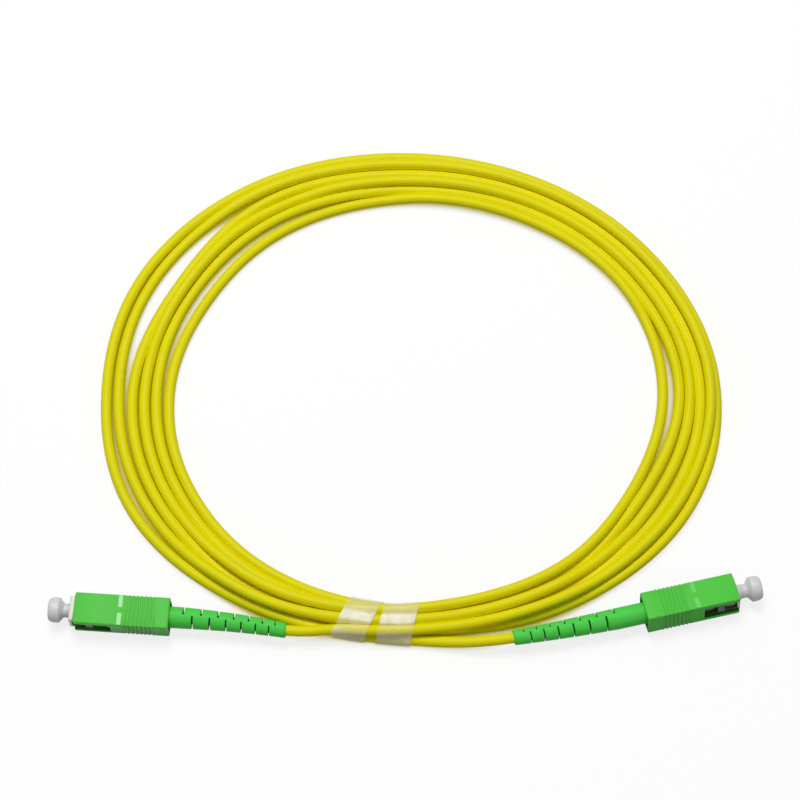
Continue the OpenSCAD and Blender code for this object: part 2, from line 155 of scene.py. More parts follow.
def lift(turn, row):
    """Height over the table layer, in diameters: sqrt(reach^2 - offset^2) above a valley."""
    across = inset(lane_at(turn), row)
    near = np.min(np.abs(across[:, None] - row[:, [0, 2, 4]]), axis=1)
    from_tie = np.abs(turn - np.round(turn)) * 360
    settled = near * ease((from_tie - tie_half) / settle_angle)
    height = np.sqrt(np.maximum(0, (1 + loop_gap)**2 - settled**2))
    return ease((turn - climb_turn) / climb_length) * height


def coil_points(turn):
    """Points of the coil in millimetres, for an array of turns."""
    angle = tie_angle - 360 * turn
    row = lane_row(angle)
    c, s = np.cos(np.radians(angle)), np.sin(np.radians(angle))
    outward = np.stack([c / coil_rx, s / coil_ry], axis=1)
    outward /= np.linalg.norm(outward, axis=1)[:, None]
    depth = inset(lane_at(turn), row) * cord_d
    flat = coil_centre + np.stack([coil_rx * c, coil_ry * s], axis=1) - depth[:, None] * outward
    return np.column_stack([flat, cord_d / 2 + table_gap + cord_d * lift(turn, row)])


coil = coil_points(np.linspace(first_turn, last_turn, coil_samples))
print(f"coil: {np.linalg.norm(np.diff(coil, axis=0), axis=1).sum():.0f} mm of cord")

# %% [markdown]
# ## From the coil to the plugs
#
# Each end of the cord runs through its boot, which bends a little to one side under the cord's
# pull, and then bends once towards the coil. The boot's bend is a parabola that starts at the
# housing. A cubic Bezier curve does the rest: it leaves the boot along the boot's end and meets
# the coil along the coil's own direction. A light smoothing along the whole route evens out the
# bends, as the jacket's stiffness does.

# %% Lay the whole route
nose = {"a": np.array([-93.1, 0.4]), "b": np.array([92.1, 5.7])}
heading = {"a": math.radians(176.2), "b": math.radians(12.9)}
roll = {"a": 0.0, "b": math.radians(-14)}
key_w, key_h, housing_w, housing_h, frame_w = 2.3, 0.9, 9.0, 7.4, 7.0
axis_height = {"a": housing_h / 2 + key_h}
axis_height["b"] = key_w / 2 * math.sin(-roll["b"]) + axis_height["a"] * math.cos(roll["b"])
sleeve_end = 30.9
boot_end = {"a": 60.2, "b": 63.7}
straight_past_boot = 1.0
bend_start = 29.0
bend_sway = {"a": 1.7, "b": 1.1}


def unit(v):
    """The same directions, each with the length 1."""
    return v / np.linalg.norm(v, axis=-1, keepdims=True)


def forward(side):
    """Unit vector from a plug's boot towards its nose."""
    return np.array([math.cos(heading[side]), math.sin(heading[side]), 0])


def leftward(side):
    """Unit vector to the left of a plug's nose direction."""
    return np.array([-math.sin(heading[side]), math.cos(heading[side]), 0])


def plug_ways(side):
    """The plug's own directions sideways and up, turned by its roll about its axis."""
    c, s = math.cos(roll[side]), math.sin(roll[side])
    up = np.array([0, 0, 1.0])
    return c * leftward(side) + s * up, c * up - s * leftward(side)


def sway(side, x):
    """How far the boot has bent to the left: sway * ((x - start) / (end - start))^2."""
    f = np.maximum(0, np.asarray(x, float) - bend_start) / (boot_end[side] - bend_start)
    return bend_sway[side] * f**2


def on_plug(side, x):
    """Points on a plug's bent axis, x millimetres behind its frame's front face."""
    start = np.array([*nose[side], axis_height[side]])
    return (start - np.multiply.outer(np.asarray(x, float), forward(side))
            + np.multiply.outer(sway(side, x), leftward(side)))


def bend(p0, d0, p1, d1, count):
    """Cubic Bezier curve whose handles are a third of the span, along d0 and d1."""
    f = np.linspace(0, 1, count)[:, None]
    s = np.linalg.norm(p1 - p0) / 3
    return ((1 - f)**3 * p0 + 3 * (1 - f)**2 * f * (p0 + s * d0)
            + 3 * (1 - f) * f**2 * (p1 - s * d1) + f**3 * p1)


def tail(side, meet, meet_dir):
    """From inside the boot to the coil, where meet_dir points on along the coil."""
    inside = on_plug(side, np.linspace(sleeve_end, boot_end[side] + straight_past_boot, 30))
    leave = unit(inside[-1] - inside[-2])
    return np.vstack([inside[:-1], bend(inside[-1], leave, meet, meet_dir, 40)])


def run_along(points):
    """How far along the line each of its points lies."""
    return np.r_[0, np.cumsum(np.linalg.norm(np.diff(points, axis=0), axis=1))]


def even(points, step):
    """The same line with points every step along its length."""
    run = run_along(points)
    at = np.linspace(0, run[-1], int(run[-1] / step) + 1)
    return np.stack([np.interp(at, run, points[:, k]) for k in range(3)], axis=1)


def smoothed(points, width):
    """Each point becomes the mean of its neighbours, with the ends left where they are."""
    kernel = np.hanning(2 * width + 3)[1:-1]
    kernel /= kernel.sum()
    padded = np.vstack([2 * points[0] - points[width:0:-1], points,
                        2 * points[-1] - points[-2:-width - 2:-1]])
    return np.stack([np.convolve(padded[:, k], kernel, "valid") for k in range(3)], axis=1)


join, route_step, stiffness_reach = cord_d, 1.4, 5
start_dir, end_dir = unit(coil[0] - coil[6]), unit(coil[-1] - coil[-7])
tail_a = tail("a", coil[-1] + join * end_dir, -end_dir)
tail_b = tail("b", coil[0] + join * start_dir, -start_dir)
route = even(np.vstack([tail_a, coil[::-1], tail_b[::-1]]), route_step)
route = smoothed(route, stiffness_reach)

# %% [markdown]
# ## A mesh from a grid
#
# Most new pieces here are grids: one index runs along the piece, the other round it. The helper
# turns a grid of points into a closed mesh, gives it a UV map measured in real lengths, and
# closes its ends. Everything is computed as whole arrays, and the mesh gets it in one go.

# %% Grid helpers
def new_object(name, mesh):
    """Links a new object with this mesh, at the origin."""
    made = bpy.data.objects.new(name, mesh)
    bpy.context.collection.objects.link(made)
    return made


def grid_object(name, grid, uv=None, caps=True):
    """A tube from grid[ring, side], which wraps round in its second index.

    Face (i, k) joins points (i, k), (i, k+1), (i+1, k+1) and (i+1, k); caps are single faces.
    """
    rings, sides = grid.shape[:2]
    i, k = np.meshgrid(np.arange(rings - 1), np.arange(sides), indexing="ij")
    k2 = (k + 1) % sides
    quads = np.stack([i * sides + k, i * sides + k2, (i + 1) * sides + k2, (i + 1) * sides + k],
                     axis=-1).reshape(-1, 4)
    faces = quads.tolist()
    if caps:
        faces.append(list(range(sides))[::-1])
        faces.append(list(range((rings - 1) * sides, rings * sides)))
    mesh = bpy.data.meshes.new(name)
    mesh.from_pydata((grid.reshape(-1, 3) * MM).tolist(), [], faces)
    if uv is not None:
        around = uv[1]
        u = np.stack([uv[0][i], uv[0][i], uv[0][i + 1], uv[0][i + 1]], axis=-1)
        v = np.stack([around[k], around[k + 1], around[k + 1], around[k]], axis=-1)
        flat = np.stack([u, v], axis=-1).reshape(-1, 2)
        layer = mesh.uv_layers.new(name="length")
        spare = np.zeros((len(mesh.loops) - len(flat), 2))
        layer.data.foreach_set("uv", np.vstack([flat, spare]).ravel())
    mesh.polygons.foreach_set("use_smooth", [True] * len(quads) + [False] * (2 * caps))
    mesh.update()
    return new_object(name, mesh)


def sweep(path, radius, sides):
    """A round section carried along a path: p + r (cos a * side + sin a * up).

    The angle a runs clockwise as seen along the path, so that the faces point outwards.
    """
    direction = unit(np.gradient(path, axis=0))
    side = unit(np.cross(direction, [0, 0, 1]))
    up = np.cross(side, direction)
    a = np.linspace(0, -2 * np.pi, sides, endpoint=False)[None, :, None]
    radius = np.broadcast_to(radius, len(path))[:, None, None]
    return path[:, None, :] + radius * (np.cos(a) * side[:, None, :] + np.sin(a) * up[:, None, :])


def points_of(mesh):
    """A mesh's points as rows of x, y and z."""
    points = np.empty(len(mesh.vertices) * 3)
    mesh.vertices.foreach_get("co", points)
    return points.reshape(-1, 3)


def point_values(mesh, name, values):
    """Stores one number for each point, for a material to read by its name."""
    mesh.attributes.new(name, "FLOAT", "POINT").data.foreach_set("value", values)


print("a test tube has", sweep(route[:3], 1.0, 8).shape, "rings, sides and axes")

# %% [markdown]
# ## The cord
#
# The cord is one unbroken tube of its real length and thickness, which leaves the left boot and
# ends in the right plug. Its UV map runs in millimetres along the jacket and round it, so that the
# jacket's fine draw lines follow every bend. An attribute marks the two lengths that lie in the
# dark inside the boots, behind the slots, where the jacket's colour is painted dark as painted
# shade.

# %% Make the cord
cord_sides, shade_stops = 20, 1.0
run_mm = run_along(route)
around_mm = np.linspace(0, np.pi * cord_d, cord_sides + 1)
cord = grid_object("jacket", sweep(route, cord_d / 2, cord_sides), uv=(run_mm, around_mm))
in_boot = {side: boot_end[side] - sleeve_end - shade_stops for side in ("a", "b")}
from_end = np.minimum(run_mm - in_boot["a"], run_mm[-1] - run_mm - in_boot["b"])
# Painted shade: along these lengths the jacket is painted dark.
point_values(cord.data, "boot_shade", np.repeat(np.clip(-from_end, 0, 1), cord_sides))
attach(cord, "cord")
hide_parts("cable_coil", "cable_tail_a", "cable_tail_b")
print(f"cord: {len(cord.data.polygons)} faces")

# %% [markdown]
# ## Finishes: shared skins
#
# Moulded plastic is never one flat colour. Its pigment clouds a little, its gloss changes where
# it was handled, and its skin has a fine grain. One node group makes these three from the
# object's own coordinates. It hands out a colour, a roughness and a height, and each material
# feeds them to its own shader.

# %% The moulded skin group
def group_socket(tree, name, direction, kind, default=None):
    """A named input or output of a node group."""
    socket = tree.interface.new_socket(name=name, in_out=direction, socket_type=kind)
    if default is not None:
        socket.default_value = default
    return socket


def node(tree, kind, **inputs):
    """Adds a node and sets its inputs by name; a socket as the value is linked instead."""
    made = tree.nodes.new(kind)
    for name, value in inputs.items():
        target = made.inputs[name.replace("_", " ")]
        if isinstance(value, bpy.types.NodeSocket):
            tree.links.new(value, target)
        else:
            target.default_value = value
    return made


def math_node(tree, operation, a, b=None, c=None):
    """The result of one sum on up to three sockets or numbers."""
    made = tree.nodes.new("ShaderNodeMath")
    made.operation = operation
    for i, value in enumerate((a, b, c)):
        if isinstance(value, bpy.types.NodeSocket):
            tree.links.new(value, made.inputs[i])
        elif value is not None:
            made.inputs[i].default_value = value
    return made.outputs[0]


def make_skin_group():
    """Clouded colour, smeared gloss and grain, each from noise on the coordinates given."""
    tree = bpy.data.node_groups.new("moulded_skin", "ShaderNodeTree")
    group_socket(tree, "Vector", "INPUT", "NodeSocketVector")
    group_socket(tree, "Colour", "INPUT", "NodeSocketColor", (0.5, 0.5, 0.5, 1))
    group_socket(tree, "Cloud size", "INPUT", "NodeSocketFloat", 120.0)
    group_socket(tree, "Cloud depth", "INPUT", "NodeSocketFloat", 0.08)
    group_socket(tree, "Roughness", "INPUT", "NodeSocketFloat", 0.35)
    group_socket(tree, "Gloss change", "INPUT", "NodeSocketFloat", 0.1)
    group_socket(tree, "Grain size", "INPUT", "NodeSocketFloat", 3000.0)
    group_socket(tree, "Colour", "OUTPUT", "NodeSocketColor")
    group_socket(tree, "Roughness", "OUTPUT", "NodeSocketFloat")
    group_socket(tree, "Height", "OUTPUT", "NodeSocketFloat")
    come = tree.nodes.new("NodeGroupInput").outputs
    leave = tree.nodes.new("NodeGroupOutput").inputs
    clouds = node(tree, "ShaderNodeTexNoise", Vector=come["Vector"], Scale=come["Cloud size"],
                  Detail=3.0, Roughness=0.55).outputs["Fac"]
    shift = math_node(tree, "SUBTRACT", clouds, 0.5)
    value = math_node(tree, "MULTIPLY_ADD", shift, come["Cloud depth"], 1.0)
    tinted = node(tree, "ShaderNodeHueSaturation", Color=come["Colour"], Value=value)
    tree.links.new(tinted.outputs["Color"], leave["Colour"])
    smear = node(tree, "ShaderNodeTexNoise", Vector=come["Vector"], Scale=come["Cloud size"],
                 Detail=6.0, Roughness=0.7, Distortion=0.6).outputs["Fac"]
    gloss = math_node(tree, "MULTIPLY_ADD", math_node(tree, "SUBTRACT", smear, 0.5),
                      come["Gloss change"], come["Roughness"])
    tree.links.new(gloss, leave["Roughness"])
    grain = node(tree, "ShaderNodeTexNoise", Vector=come["Vector"], Scale=come["Grain size"],
                 Detail=2.0, Roughness=0.5).outputs["Fac"]
    tree.links.new(grain, leave["Height"])
    return tree


skin_group = make_skin_group()
print("group:", skin_group.name, len(skin_group.nodes), "nodes")

# %% Materials with that skin
def new_material(name):
    """A material with one Principled shader: (material, its nodes, the shader)."""
    made = bpy.data.materials.new(name)
    made.use_nodes = True
    tree = made.node_tree
    tree.nodes.clear()
    shader = tree.nodes.new("ShaderNodeBsdfPrincipled")
    output = tree.nodes.new("ShaderNodeOutputMaterial")
    tree.links.new(shader.outputs["BSDF"], output.inputs["Surface"])
    return made, tree, shader


def place_skin(tree, shader, place, colour, roughness, cloud, gloss_change, grain_size):
    """Puts the skin group into a material and links the roughness; its outputs are returned."""
    skin = tree.nodes.new("ShaderNodeGroup")
    skin.node_tree = skin_group
    tree.links.new(place, skin.inputs["Vector"])
    for name, value in (("Colour", (*colour, 1)), ("Cloud size", cloud[0]),
                        ("Cloud depth", cloud[1]), ("Roughness", roughness),
                        ("Gloss change", gloss_change), ("Grain size", grain_size)):
        skin.inputs[name].default_value = value
    tree.links.new(skin.outputs["Roughness"], shader.inputs["Roughness"])
    return skin.outputs


def bumped(tree, shader, height, distance_mm):
    """Turns a height into small bumps of the surface."""
    bump = node(tree, "ShaderNodeBump", Height=height, Distance=distance_mm * MM, Strength=1.0)
    tree.links.new(bump.outputs["Normal"], shader.inputs["Normal"])


def skinned(name, colour, roughness, cloud=(120.0, 0.08), gloss_change=0.1, grain=(3000.0, 0.02),
            **sockets):
    """A material whose colour, gloss and grain come from the moulded skin group.

    cloud is (scale, depth) of the pigment's clouds, grain is (scale, bump distance in mm).
    """
    made, tree, shader = new_material(name)
    place = tree.nodes.new("ShaderNodeTexCoord").outputs["Object"]
    skin = place_skin(tree, shader, place, colour, roughness, cloud, gloss_change, grain[0])
    tree.links.new(skin["Colour"], shader.inputs["Base Color"])
    bumped(tree, shader, skin["Height"], grain[1])
    for socket, value in sockets.items():
        shader.inputs[socket.replace("_", " ")].default_value = value
    return made


print("a skin reads", [s.name for s in skin_group.interface.items_tree if s.in_out == "INPUT"])

# %% [markdown]
# ## Finishes: one per material
#
# The housings are a hard glossy green plastic and the boots a softer, satin green. The frames
# are ivory. The caps are milky polyethylene that light enters a little, so they get some
# subsurface scattering. The hidden pieces get plain plated metal, ceramic, yarn and buffer.

# %% Make the finishes
green_housing = skinned("green_housing", (0.090, 0.58, 0.060), 0.40, cloud=(160.0, 0.10),
                        grain=(2600.0, 0.015), Specular_IOR_Level=0.10)
green_boot = skinned("green_boot", (0.075, 0.62, 0.072), 0.5, cloud=(200.0, 0.12),
                     grain=(2200.0, 0.02), Specular_IOR_Level=0.15)
ivory_frame = skinned("ivory_frame", (0.77, 0.82, 0.66), 0.4, cloud=(150.0, 0.05))
milky_cap = skinned("milky_cap", (0.68, 0.67, 0.66), 0.45, cloud=(250.0, 0.05),
                    grain=(1800.0, 0.01), Subsurface_Weight=0.15)
zirconia = skinned("zirconia", (0.86, 0.86, 0.84), 0.1, cloud=(300.0, 0.03), grain=(2000.0, 0.0))
plated = skinned("plated_metal", (0.62, 0.61, 0.58), 0.3, cloud=(300.0, 0.1),
                 grain=(2500.0, 0.01), Metallic=1.0)
spring_steel = skinned("spring_steel", (0.55, 0.55, 0.56), 0.25, grain=(2500.0, 0.01),
                       Metallic=1.0)
aramid = skinned("aramid", (0.72, 0.58, 0.20), 0.6, cloud=(900.0, 0.3), grain=(5000.0, 0.05))
white_buffer = skinned("white_buffer", (0.85, 0.85, 0.83), 0.4)

# The ink is printed thin and is half worn off, so the green shows through it.
ink = {"a": skinned("worn_ink", (0.33, 0.78, 0.34), 0.5, cloud=(900.0, 0.2),
                    grain=(4000.0, 0.01)),
       "b": skinned("faint_ink", (0.125, 0.64, 0.11), 0.5, cloud=(900.0, 0.3),
                    grain=(4000.0, 0.01))}
print("materials:", [m.name for m in bpy.data.materials])

# %% [markdown]
# ## Finishes: painted shade in the recesses
#
# The plugs are full of notches and steps where hardly any light gets in. The renderer darkens
# these by itself, but a soft sky lights them more than a real one does in a room. So the colour
# is also painted darker there, as painted shade, by how much of the sky a place sees, which the
# Ambient Occlusion node measures. The catch lugs of the ivory frames stand in the housings' shade,
# and an attribute marks them, where a painted shadow turns the ivory almost black.

# %% Paint shade into the recesses
def mixed(tree, factor, a, b):
    """A colour between a and b; each is a socket or a plain colour."""
    mix = tree.nodes.new("ShaderNodeMix")
    mix.data_type = "RGBA"
    tree.links.new(factor, mix.inputs["Factor"])
    for name, value in (("A", a), ("B", b)):
        if isinstance(value, bpy.types.NodeSocket):
            tree.links.new(value, mix.inputs[name])
        else:
            mix.inputs[name].default_value = (*value, 1)
    return mix.outputs["Result"]


def paint_recess_shading(tree, colour, deep_colour, reach_mm, shut, open_air, own_shape=False):
    """Paints a colour towards deep_colour where the open share of the sky falls from open_air to
    shut:
    painted shade where deep_colour is darker, painted bounce light where it is brighter.

    With own_shape only the piece itself can shut a place in, such as one strand the next.
    """
    around = tree.nodes.new("ShaderNodeAmbientOcclusion")
    around.samples = 8
    around.only_local = own_shape
    around.inputs["Distance"].default_value = reach_mm * MM
    open_share = node(tree, "ShaderNodeMapRange", Value=around.outputs["AO"], From_Min=shut,
                      From_Max=open_air).outputs["Result"]
    return mixed(tree, open_share, deep_colour, colour)


def shade_recesses(material, *recess):
    """Puts painted shade from the recesses between a skinned material's colour and its shader."""
    tree = material.node_tree
    target = tree.nodes["Principled BSDF"].inputs["Base Color"]
    tree.links.new(paint_recess_shading(tree, target.links[0].from_socket, *recess), target)


def read_attribute(tree, name):
    """The values that point_values stored under this name."""
    stored = tree.nodes.new("ShaderNodeAttribute")
    stored.attribute_name = name
    return stored.outputs["Fac"]


# Painted shade: the frame's ivory turns almost black where the housing shuts it in.
shade_recesses(ivory_frame, (0.03, 0.05, 0.02), 4.0, 0.58, 0.85)
# Painted shadow: the catch lugs' ivory is mixed to almost black.
lug_tree = ivory_frame.node_tree
frame_colour = lug_tree.nodes["Principled BSDF"].inputs["Base Color"]
lug_tree.links.new(mixed(lug_tree, read_attribute(lug_tree, "lug_shade"),
                         frame_colour.links[0].from_socket, (0.02, 0.06, 0.02)), frame_colour)
# Painted shade: the housing's green darkens in its notches and low on its sides, where the table
# and nearby pieces hide the sky.
shade_recesses(green_housing, (0.02, 0.22, 0.01), 12.0, 0.5, 0.82)
print("shaded:", ivory_frame.name, green_housing.name)

# %% [markdown]
# ## Finishes: the yellow jacket
#
# A jacket is drawn through a die, which leaves faint lines along it. They follow the cord's own
# UV map. Where two strands press together, light bounces from one to the other, so the colour is
# painted brighter and warmer there than on top: painted bounce light.

# %% The jacket's finish
def make_jacket_material():
    """Yellow jacket: draw lines run along it, and its gloss changes slowly from place to place.

    The map is in mm. Scaled by 0.02 along and 1.9 round, its noise is stretched into the lines.
    """
    made, tree, shader = new_material("yellow_jacket")
    coords = tree.nodes.new("ShaderNodeTexCoord")
    along = node(tree, "ShaderNodeMapping", Vector=coords.outputs["UV"], Scale=(0.02, 1.9, 1.0))
    lines = node(tree, "ShaderNodeTexNoise", Vector=along.outputs["Vector"], Scale=2.0, Detail=4.0)
    skin = place_skin(tree, shader, coords.outputs["Object"], (0.74, 0.68, 0.0), 0.42,
                      cloud=(60.0, 0.10), gloss_change=0.16, grain_size=1400.0)
    # Painted bounce light: the yellow is painted brighter and warmer where one strand shuts in the
    # next.
    painted_bounce_light = paint_recess_shading(tree, skin["Colour"], (1.0, 0.90, 0.0), 4.0, 0.2, 0.62, own_shape=True)
    # Painted shade: inside the boots the jacket's colour is mixed to almost black.
    tree.links.new(mixed(tree, read_attribute(tree, "boot_shade"), painted_bounce_light, (0.02, 0.06, 0.0)),
                   shader.inputs["Base Color"])
    height = math_node(tree, "MULTIPLY_ADD", lines.outputs["Fac"], 1.5, skin["Height"])
    bumped(tree, shader, height, 0.02)
    shader.inputs["Specular IOR Level"].default_value = 0.12
    return made


yellow_jacket = make_jacket_material()
cord.data.materials.append(yellow_jacket)
print("jacket:", len(yellow_jacket.node_tree.nodes), "nodes")

# %% [markdown]
# ## Dress the CAD pieces
#
# The rigid pieces keep their CAD shapes. A real moulding has no knife edges, though, and it is
# the thin bright line along each edge that tells the eye so. Each visible piece is therefore a
# copy of its CAD mesh with the doubles merged, flat triangles joined and every hard edge
# rounded by a small bevel.

# %% Merge a CAD mesh
merge_reach, cut_reach, on_cut = 0.002 * MM, 0.0002 * MM, 0.001 * MM
flat_angle = math.radians(0.5)


def merged_copy(node_name, name):
    """A new object with a CAD node's mesh, its loose triangles merged at their corners."""
    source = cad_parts[node_name]
    mesh = source.data.copy()
    mesh.name = name
    made = new_object(name, mesh)
    mesh.materials.clear()
    work = bmesh.new()
    work.from_mesh(mesh)
    work.transform(source.matrix_world)
    bmesh.ops.remove_doubles(work, verts=work.verts, dist=merge_reach)
    # One face can't go round a hole, so two cuts through the plug's axis open every flat ring,
    # and the flat triangles are joined everywhere but along these cuts.
    side = node_name[-1]
    axis_place = Vector((*nose[side], axis_height[side])) * MM
    cut_edges = set()
    for way in map(Vector, plug_ways(side)):
        bmesh.ops.bisect_plane(work, geom=work.verts[:] + work.edges[:] + work.faces[:],
                               dist=cut_reach, plane_co=axis_place, plane_no=way)
    for way in map(Vector, plug_ways(side)):
        cut_edges.update(edge for edge in work.edges
                         if all(abs((v.co - axis_place) @ way) < on_cut for v in edge.verts))
    bmesh.ops.dissolve_limit(work, angle_limit=flat_angle, verts=work.verts,
                             edges=[edge for edge in work.edges if edge not in cut_edges])
    work.to_mesh(mesh)
    work.free()
    return made


def from_axis(side, mesh):
    """Each point's distances in mm from the plug's axis: (offset, direction) sideways and up."""
    across, upward = plug_ways(side)
    reach = points_of(mesh) / MM - np.array([*nose[side], axis_height[side]])
    return (reach @ across, across), (reach @ upward, upward)


print("a cap's CAD mesh:", len(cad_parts["dust_cap_a"].data.polygons), "faces")

# %% Soft-edged copies
hard_edge = math.radians(32)
rib_valley = (0.03, 0.13)


def bend_boot(side, mesh):
    """Moves a boot's points to the left by sway(x), x being how far each is behind the nose."""
    points = points_of(mesh)
    behind = np.array([*nose[side], 0]) - points / MM
    points += np.multiply.outer(sway(side, behind @ forward(side)), leftward(side)) * MM
    mesh.vertices.foreach_set("co", points.ravel())


def wear_ribs(side, mesh):
    """Raises the valleys between a housing's grip ribs by half of their depth."""
    points = points_of(mesh)
    for (off, way), wide in zip(from_axis(side, mesh), (housing_w, housing_h)):
        sunk = wide / 2 - np.abs(off)
        raised = np.where((sunk > rib_valley[0]) & (sunk < rib_valley[1]), sunk / 2, 0)
        points += np.multiply.outer(np.sign(off) * raised, way) * MM
    mesh.vertices.foreach_set("co", points.ravel())


def shade_lugs(side, mesh):
    """Marks the catch lugs, which are the points that stand out of the frame's sides, for the
    painted shadow on them.
    """
    (sideways, _), _ = from_axis(side, mesh)
    point_values(mesh, "lug_shade", (np.abs(sideways) > frame_w / 2 + 0.05).astype(float))


def soft_copy(node_name, name, material, body, edge, reshape=None):
    """Copies a CAD node, merges it and rounds its edges by edge millimetres.

    reshape is a function of the plug's side and the mesh, called before the edges are rounded.
    """
    made = merged_copy(node_name, name)
    mesh = made.data
    if reshape:
        reshape(node_name[-1], mesh)
    mesh.materials.append(material)
    mesh.polygons.foreach_set("use_smooth", [True] * len(mesh.polygons))
    bevel = made.modifiers.new("edges", "BEVEL")
    bevel.width = edge * MM
    bevel.segments = 2
    bevel.limit_method = "ANGLE"
    bevel.angle_limit = hard_edge
    bevel.harden_normals = True
    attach(made, body)
    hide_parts(node_name)
    return made


for side in ("a", "b"):
    for stem, new_name, material, slot, body, edge, reshape in (
            ("outer_housing", "housing_shell", green_housing, "housing_plastic",
             "housing_" + side, 0.12, wear_ribs),
            ("boot", "bend_boot", green_boot, "boot_rubber", "cord", 0.06, bend_boot),
            ("plug_frame", "frame_body", ivory_frame, "frame_plastic", "cord", 0.1, shade_lugs),
            ("dust_cap", "cap_body", milky_cap, "cap_plastic", "cap_" + side, 0.08, None)):
        soft_copy(f"{stem}_{side}", f"{new_name}_{side}", material,
                                             body, edge, reshape)

# %% [markdown]
# ## The springs
#
# A ferrule is pushed back against its spring, by up to 0.9 mm. The spring is wound wire that
# must shorten then, or it would stand through the ferrule's flange. Here each spring is a merged
# copy of its CAD mesh in steel, on the cord's body, and nothing shortens it.


def make_spring(side):
    """The wound spring: a merged copy of its CAD mesh, in steel, on the cord's body."""
    made = merged_copy("ferrule_spring_" + side, "spring_wire_" + side)
    along = points_of(made.data) @ forward(side)
    made.data.materials.append(spring_steel)
    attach(made, "cord")
    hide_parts("ferrule_spring_" + side)
    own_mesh(made)
    return made


springs = [make_spring(side) for side in ("a", "b")]
print("springs:", [len(s.data.polygons) for s in springs], "faces")

# %% [markdown]
# ## Marks on the housings
#
# Two pale bars are printed across each housing, one beside the other. They are thin plates of
# ink that lie on the face, placed in the plug's own directions: behind its nose, to its left and
# up from its axis. Each rides on its housing, so it slides with it.

# %% Print the marks
mark_behind = {"a": 14.1, "b": 12.1}
mark_long, mark_wide, mark_space = 1.15, 3.4, 1.7
ink_t = 0.02


def in_plug(side, x, left, high):
    """World point x mm behind the frame's front, and left of and above the rolled axis."""
    across, upward = plug_ways(side)
    start = np.array([*nose[side], axis_height[side]])
    return start - x * forward(side) + left * across + high * upward


def make_mark(side, number, middle):
    """A closed plate from half an ink's thickness inside the face to half outside it."""
    top = housing_h / 2
    corners = [in_plug(side, mark_behind[side] + i * mark_long / 2, middle + j * mark_wide / 2,
                       top + k * ink_t / 2)
               for k in (-1, 1) for i, j in ((-1, -1), (1, -1), (1, 1), (-1, 1))]
    faces = [(0, 1, 2, 3), (7, 6, 5, 4)] + [(i, i + 4, (i + 1) % 4 + 4, (i + 1) % 4)
                                            for i in range(4)]
    mesh = bpy.data.meshes.new(f"mark_{side}{number}")
    mesh.from_pydata([tuple(c * MM) for c in corners], [], faces)
    mesh.materials.append(ink[side])
    made = new_object(f"mark_{side}{number}", mesh)
    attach(made, "housing_" + side)
    return made


marks = {side: [make_mark(side, 1, -(mark_wide + mark_space) / 2),
                make_mark(side, 2, (mark_wide + mark_space) / 2)] for side in ("a", "b")}
print("marks:", sum(len(m) for m in marks.values()))

# %% [markdown]
# ## The hidden pieces
#
# The ferrules, their flanges, the crimp parts, the yarn and the buffer lie inside the plugs. At
# most their front ends are seen, once a cap is off. They keep their CAD meshes and get their
# materials here.

# %% Finishes for the pieces that keep their CAD meshes
kept = {"ferrule": zirconia, "ferrule_flange": plated, "crimp_body": plated,
        "aramid_yarn": aramid, "crimp_sleeve": plated, "buffered_fibre": white_buffer}
for stem, material in kept.items():
    for side in ("a", "b"):
        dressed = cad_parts[f"{stem}_{side}"]
        for slot in dressed.material_slots:
            slot.material = material
print("dressed", 2 * len(kept), "hidden pieces")

# %% [markdown]
# ## The tape
#
# Clear tape spans from strand to strand. Seen end on, it is the tightest line round the strands:
# for each direction, the strand that reaches furthest, plus a strand's radius. Two turns lie
# side by side, each wound a little aslant. The film is thin, so it is a closed band with an
# outer and an inner face. It is milky where it stands off the strands and clear where it clings
# to them, which an attribute tells its finish. The same attribute also holds a painted highlight
# a little behind the middle and a painted reflection on the front.

# %% The shape of the film
tape_w, tape_space, tape_middle = 9.8, 1.4, -7.1
film_gap, tape_t, lowest_film = 0.25, 0.08, 0.02
ripple_height, ripple_turn, ripple_pitch = 0.05, 9, 0.35
# From front to back: milkiness, with a painted highlight from 0.57 to 0.71 and a painted
# reflection in the front band.
haze_and_highlight_places = (0, 0.26, 0.33, 0.50, 0.57, 0.71, 0.79, 1)
haze_and_highlight_values = (0.27, 0.25, 0.07, 0.06, 0.34, 0.38, 0.10, 0.12)


def strands_at(x, shear):
    """Where the route crosses the slanted plane x + shear * y on the tied side."""
    low = route[:, 1] < coil_centre[1] - coil_ry / 2
    offset = route[:, 0] - x - shear * route[:, 1]
    hit = np.flatnonzero((offset[:-1] * offset[1:] < 0) & low[:-1])
    f = (offset[hit] / (offset[hit] - offset[hit + 1]))[:, None]
    return (route[hit] + f * (route[hit + 1] - route[hit]))[:, 1:]


def wrap(strands, radius, count):
    """Tight outline round circles: the furthest circle in each direction, evened by length."""
    a = np.linspace(0, 2 * np.pi, 720, endpoint=False)
    n = np.stack([np.cos(a), np.sin(a)], axis=1)
    furthest = np.argmax(strands @ n.T, axis=0)
    line = strands[furthest] + radius * n
    line[:, 1] = np.maximum(line[:, 1], lowest_film)
    closed = np.vstack([line, line[:1]])
    run = run_along(closed)
    at = np.linspace(0, run[-1], count, endpoint=False)
    return np.stack([np.interp(at, run, closed[:, k]) for k in range(2)], axis=1)


